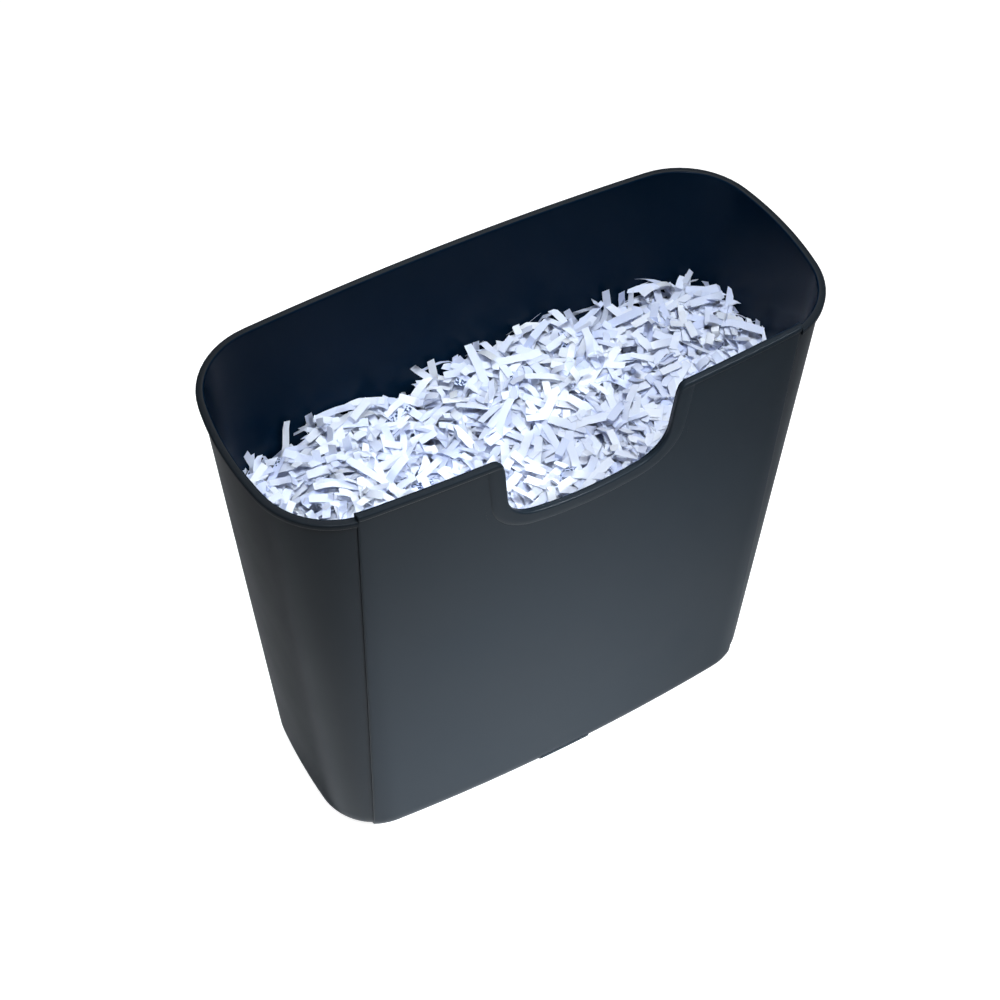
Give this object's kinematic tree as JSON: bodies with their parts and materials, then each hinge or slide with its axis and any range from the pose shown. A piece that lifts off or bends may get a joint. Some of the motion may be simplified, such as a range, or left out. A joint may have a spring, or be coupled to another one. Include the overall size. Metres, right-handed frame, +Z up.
{
  "type": "paper shredder waste bin",
  "caption": "Tapering oval waste bin of a paper shredder with a hand scoop in its front rim, a stepped front panel and a load of white shredded paper.",
  "frame": {"origin": "on the floor under the middle of the base", "axes": "+Z up, -Y towards the front with the scoop, +X along the length of the bin, to the right when the scoop is seen from the front"},
  "size_m": [0.32, 0.1452, 0.3074],
  "materials": {
    "bin_plastic": "satin",
    "panel_plastic": "satin",
    "shredded_paper": "matte"
  },
  "bodies": {
    "bin": {"bin_shell": "bin_plastic", "front_panel": "panel_plastic"},
    "paper_load": {"shred_heap": "shredded_paper", "loose_shreds": "shredded_paper"}
  },
  "joints": [
    {"name": "lift_paper", "type": "slide", "parent": "bin", "child": "paper_load", "axis": [0, 0, 1], "range_m": [0, 0.31]}
  ]
}
